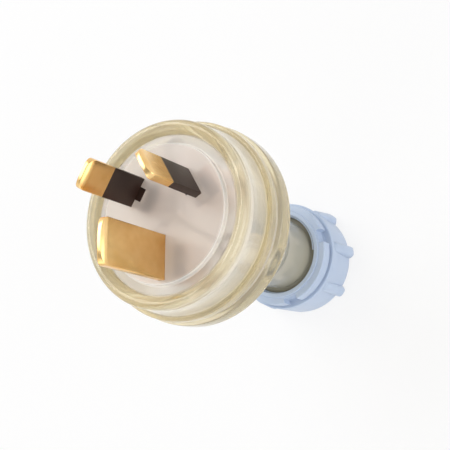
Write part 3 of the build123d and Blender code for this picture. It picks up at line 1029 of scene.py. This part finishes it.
# Gland nut: castellated collar, groove, tapered skirt with rounded ribs
glandNut = {
    "front": 48.5,
    # From the lip over the step, the collar and the groove to the skirt: radius, depth, rounding
    "outside": (
        (9.65, 48.5, 0.15),
        (10.7, 48.5, 0.15),
        (10.7, 48.85, 0.1),
        (12.3, 48.85, 0.3),
        (12.3, 51.85, 0.2),
        (11.2, 51.85, 0.1),
        (11.2, 52.3, 0.1),
        (12.9, 52.3, 0.3),
    ),
    "collarEnd": 51.85,
    "skirtStart": 52.3,
    "skirtFront": 12.9,
    "skirtRear": 12.4,
    "skirtRound": 1.6,
    # Radius, rounding at the rear face, rounding at the chamber
    "hole": (5.5, 1.3, 0.2),
    "chamber": 9.9,
    "bore": 9.4,
    "lip": (9.65, 49.7),
    "softEdge": 0.1,
    "roundSteps": 192,
    "notchFloor": 10.95,
    "notchDeep": 4.0,
    "notchWide": 3.4,
    "notchEdge": 0.12,
    "notches": 4,
    "notchPhase": 16.0,
    "ribCount": 3,
    "ribGroups": 2,
    "ribPhase": 6.0,
    "ribSpread": 45.0,
    "ribFoot": 11.2,
    "ribFootSpread": 1.15,
    "ribWide": 2.6,
    "ribFront": 0.25,
    "ribRear": 1.5,
    "ribRamp": 0.75,
    "ribMargin": 0.9,
    "ribRound": 0.55,
    "ribTopRound": 0.88,
    "ribSteps": 14,
    "ribTopSteps": 8,
    "ribCrease": 50,
}


def makeNutBody(v):
    high, low = ringFront - gland["ringPlay"], ringRear + gland["ringPlay"]
    hole, holeRound, holeEdge = v["hole"]
    edge = v["softEdge"]
    points = [
        *v["outside"],
        (v["skirtRear"], face, v["skirtRound"]),
        (hole, face, holeRound),
        (hole, low, holeEdge),
        (v["chamber"], low, edge),
        (v["chamber"], high, edge),
        (v["bore"], high, edge),
        (v["bore"], v["lip"][1], edge),
        (*v["lip"], edge),
    ]
    nut = revolve("nutBody", section(points), v["roundSteps"])
    top, floor = face - v["front"] + past, face - v["collarEnd"]
    size = (v["notchDeep"], v["notchWide"], top - floor)
    notch = block("notch", size, (v["notchDeep"] / 2, 0, (top + floor) / 2), 0, v["notchEdge"])
    count, phase, radius = v["notches"], v["notchPhase"], v["notchFloor"]
    notches = copyRound("notches", notch, count, 360.0 / count, phase, nutPlastic, radius)
    return combine(nut, [notches], "DIFFERENCE")


def makeRibShape(v):
    # One rounded rib along the skirt at the +X side, prouder towards the rear
    high, low = face - v["skirtStart"] - v["ribMargin"], v["ribMargin"]
    frontRadius, rearRadius = v["skirtFront"] + v["ribFront"], v["skirtRear"] + v["ribRear"]
    half, rounding, topRound = v["ribWide"] / 2, v["ribRound"], v["ribTopRound"]
    foot, middle = half * v["ribFootSpread"], v["ribTopSteps"] / 2
    rings = []
    for k in range(v["ribSteps"] + 1):
        share = k / v["ribSteps"]
        z = high + (low - high) * share
        along = min(share / v["ribRamp"], 1)
        proud = frontRadius * (1 - along) + rearRadius * along
        for distance in (z - low, high - z):
            inward = rounding - min(distance, rounding)
            proud -= rounding - math.sqrt(max(rounding**2 - inward**2, 0))
        ring = [(v["ribFoot"], -foot, z)]
        for j in range(v["ribTopSteps"] + 1):
            angle = math.pi * (j / v["ribTopSteps"] - 0.5)
            x = proud - topRound * (1 - math.cos(angle))
            side = (half - topRound) * ((j > middle) - (j < middle))
            ring.append((x, side + topRound * math.sin(angle), z))
        ring.append((v["ribFoot"], foot, z))
        rings.append(ring)
    return loft("nutRib", rings)


nutBody = makeNutBody(glandNut)
ribGroup = copyRound(
    "ribGroup",
    makeRibShape(glandNut),
    glandNut["ribCount"],
    glandNut["ribSpread"],
    -glandNut["ribSpread"],
    nutPlastic,
)
nutRibs = copyRound(
    "nutRibs",
    ribGroup,
    glandNut["ribGroups"],
    360.0 / glandNut["ribGroups"],
    glandNut["ribPhase"],
    nutPlastic,
)
finishPiece(nutBody, "gland_nut", nutPlastic, ["gland_nut"])
finishPiece(nutRibs, "gland_nut", nutPlastic, (), glandNut["ribCrease"])
print("gland nut made")

# Thread ridges on the neck and in the nut
thread = {
    "pitch": 1.5,
    "ridge": 0.14,
    "crease": 60,
    "neck": {"radius": rearShell["threadRadius"], "turns": 4.2, "low": 7.5},
    # Sunk a little into the bore's wall
    "nut": {"radius": glandNut["bore"] + 0.02, "turns": 6.0, "low": 6.2},
}


def windThread(name, v, material):
    values = {
        "Radius": v["radius"] * mm,
        "Turns": v["turns"],
        "Length": v["turns"] * thread["pitch"] * mm,
        "Low": v["low"] * mm,
        "Ridge": thread["ridge"] * mm,
        "Material": material,
    }
    return growPiece(name, threadTree, values)


neckThread = windThread("neckThread", thread["neck"], clearPlastic)
finishPiece(neckThread, "plug_body", clearPlastic, (), thread["crease"])
nutThread = windThread("nutThread", thread["nut"], nutPlastic)
finishPiece(nutThread, "gland_nut", nutPlastic, (), thread["crease"])
print("threads made")

# Camera: the photograph's point of view, in metres
camera = {
    "place": (0.11111, -0.04580, 0.22418),
    "right": (0.8573, 0.0047, -0.5148),
    "up": (0.1081, 0.9760, 0.1889),
    "lens": 80.43,
    "sensor": 36,
    "clip": (0.01, 20),
}


def placeCamera(v):
    data = bpy.data.cameras.new("plugCamera")
    data.lens = v["lens"]
    data.sensor_width = v["sensor"]
    data.sensor_fit = "HORIZONTAL"
    data.clip_start, data.clip_end = v["clip"]
    right = Vector(v["right"]).normalized()
    up = Vector(v["up"])
    up = (up - right * up.dot(right)).normalized()
    turn = Matrix((right, up, right.cross(up))).transposed().to_4x4()
    item = addObject("plugCamera", data)
    item.matrix_world = Matrix.Translation(Vector(v["place"])) @ turn
    bpy.context.scene.camera = item


placeCamera(camera)
print("camera placed")

# Floor, world and lamps, in metres
studio = {
    "floorColor": (0.86, 0.86, 0.87, 1),
    "floorRough": 0.9,
    "floorSize": 6.0,
    "floorGlow": 0.8,
    "worldColor": (1.0, 0.985, 0.96, 1),
    "worldStrength": 0.85,
    # Between these two heights in the sky the room dims to the overhead share
    "dimSpan": (0.35, 0.95),
    "overhead": 0.34,
    "middle": (0, 0, 0.05),
    # Place, size and power
    "lamps": {
        "keyLamp": ((-0.25, 0.20, 0.45), 0.35, 1.35),
        "fillLamp": ((0.40, -0.12, 0.22), 0.40, 0.9),
        "rearLamp": ((-0.20, -0.40, 0.30), 0.40, 0.5),
    },
}


def whiteToEye(tree, shader, output, share):
    # Seen straight, in a reflection or through clear plastic, this share of the surface is white
    nodes, links = tree.nodes, tree.links
    path = nodes.new("ShaderNodeLightPath").outputs
    glow = nodes.new("ShaderNodeEmission")
    glow.inputs["Color"].default_value = (1, 1, 1, 1)
    seen = mathNode(tree, "MAXIMUM", path["Is Camera Ray"], path["Is Glossy Ray"])
    seen = mathNode(tree, "MAXIMUM", seen, path["Is Transmission Ray"])
    mix = nodes.new("ShaderNodeMixShader")
    links.new(mathNode(tree, "MULTIPLY", seen, share), mix.inputs[0])
    links.new(shader.outputs[0], mix.inputs[1])
    links.new(glow.outputs[0], mix.inputs[2])
    links.new(mix.outputs[0], output.inputs[0])
    return glow


def makeFloor(v):
    side = v["floorSize"] / 2
    mesh = bpy.data.meshes.new("floor")
    corners = [(-side, -side, 0), (side, -side, 0), (side, side, 0), (-side, side, 0)]
    mesh.from_pydata(corners, [], [(0, 1, 2, 3)])
    item = addObject("floor", mesh)
    sockets = {"Base Color": v["floorColor"], "Roughness": v["floorRough"]}
    material, tree, shader = newMaterial("paleFloor", sockets)
    whiteToEye(tree, shader, tree.nodes["Material Output"], v["floorGlow"])
    mesh.materials.append(material)


def makeWorld(v):
    world = bpy.data.worlds.new("softRoom")
    bpy.context.scene.world = world
    world.use_nodes = True
    tree = world.node_tree
    background = tree.nodes["Background"]
    background.inputs["Color"].default_value = v["worldColor"]
    place = tree.nodes.new("ShaderNodeTexCoord")
    axes = tree.nodes.new("ShaderNodeSeparateXYZ")
    tree.links.new(place.outputs["Generated"], axes.inputs[0])
    level = remap(tree, axes.outputs["Z"], v["dimSpan"], (1.0, v["overhead"]))
    strength = mathNode(tree, "MULTIPLY", level, v["worldStrength"])
    tree.links.new(strength, background.inputs["Strength"])
    glow = whiteToEye(tree, background, tree.nodes["World Output"], 1.0)
    tree.links.new(level, glow.inputs["Strength"])


def makeLamp(name, place, size, power):
    data = bpy.data.lights.new(name, "AREA")
    data.energy = power
    data.size = size
    item = addObject(name, data)
    item.location = place
    toMiddle = Vector(studio["middle"]) - Vector(place)
    item.rotation_euler = toMiddle.to_track_quat("-Z", "Y").to_euler()


makeFloor(studio)
makeWorld(studio)
for name, values in studio["lamps"].items():
    makeLamp(name, *values)
print("studio ready")

bpy.context.scene.view_settings.view_transform = "Standard"
